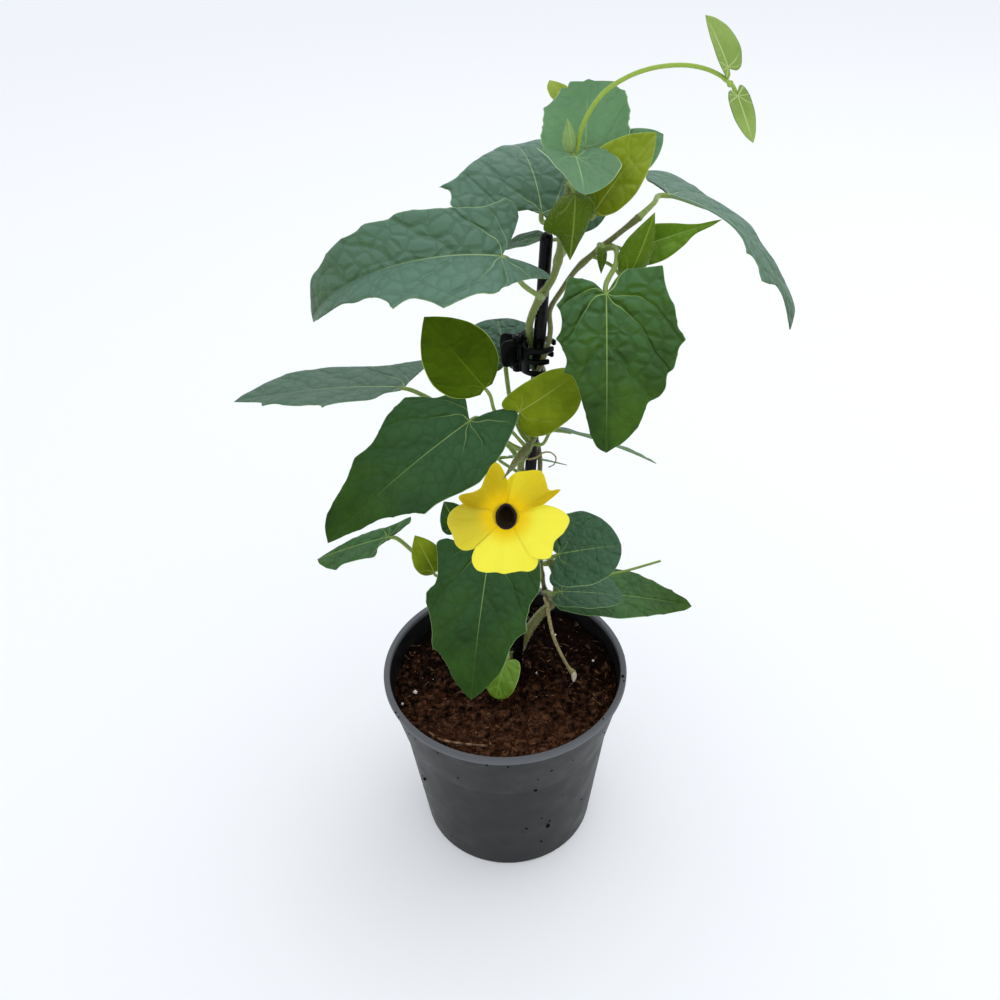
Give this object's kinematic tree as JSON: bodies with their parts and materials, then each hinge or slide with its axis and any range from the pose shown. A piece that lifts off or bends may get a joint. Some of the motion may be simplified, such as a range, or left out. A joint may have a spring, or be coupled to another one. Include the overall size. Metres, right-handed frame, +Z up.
{
  "type": "potted flowering vine",
  "caption": "Young black-eyed Susan vine in a round nursery pot, twining up a cane, with arrow-shaped leaves, an open yellow bloom, buds and a spring clip.",
  "frame": {"origin": "on the pot's axis, in the plane of the flat underside that the pot stands on", "axes": "+Z straight up along the pot's axis; -Y is the side the open bloom faces; +X is to the right when seen from the bloom's side"},
  "size_m": [0.2245, 0.12, 0.3941],
  "materials": {
    "pot": "thin moulded plastic, satin",
    "soil": "crumbly potting compost, matt",
    "cane": "smooth dark plastic coating",
    "clip": "moulded black plastic",
    "steel": "dark drawn spring wire",
    "green_stem": "green stem with short hairs",
    "brown_stem": "older stem turning brown",
    "young_stem": "fresh bright green shoot",
    "dry_stalk": "dry pale stalk",
    "dark_leaf": "quilted leaf with short hairs, satin",
    "deep_leaf": "shaded lower leaf, satin",
    "pale_leaf": "paler top leaf, satin",
    "young_leaf": "young yellow-green leaf, slight gloss",
    "petal": "soft yellow petals, velvet matt",
    "bract": "ribbed green bract, short hairs"
  },
  "bodies": {
    "plant": {"pot": "pot", "soil": "soil", "cane": "cane", "stem_main": "green_stem", "stem_side": "brown_stem", "shoot_arching": "young_stem", "stalk_dry": "dry_stalk", "stalk_thin": "dry_stalk", "tendril": "brown_stem", "leaf_upper_left": "dark_leaf", "leaf_upper_back": "dark_leaf", "leaf_right_arched": "dark_leaf", "leaf_front_right": "dark_leaf", "leaf_middle_left": "deep_leaf", "leaf_far_left": "dark_leaf", "leaf_front_low": "deep_leaf", "leaf_low_left": "dark_leaf", "leaf_right_of_bloom": "deep_leaf", "leaf_right_under": "deep_leaf", "leaf_low_right": "deep_leaf", "leaf_behind_clip": "dark_leaf", "leaf_bright_oval": "young_leaf", "leaf_round_folded": "young_leaf", "leaf_right_edge_on": "dark_leaf", "leaf_behind_cane": "dark_leaf", "leaf_small_left": "young_leaf", "leaf_beside_bloom": "deep_leaf", "leaf_apex_round": "pale_leaf", "leaf_apex_front": "pale_leaf", "leaf_apex_bright": "young_leaf", "leaf_apex_back": "young_leaf", "leaf_apex_right": "pale_leaf", "leaf_narrow_folded": "young_leaf", "leaf_under_cane_top": "deep_leaf", "leaf_shoot_up": "young_leaf", "leaf_shoot_down": "young_leaf", "leaf_pale_low": "bract", "bract_narrow": "brown_stem", "bloom": "petal", "bloom_bracts": "bract", "bud_right": "bract", "bud_front": "bract", "bud_small": "bract", "bud_apex": "bract", "clip_back_jaw": "clip", "clip_pin": "steel", "clip_spring": "steel"},
    "clip_jaw": {"clip_front_jaw": "clip"}
  },
  "joints": [
    {"name": "clip_open", "type": "hinge", "parent": "plant", "child": "clip_jaw", "pos_m": [0.0084, 0, 0.274], "axis": [0, 0, -1], "range_deg": [0, 28], "stiffness_Nm_per_rad": 0.02, "springref_deg": -20.05}
  ]
}
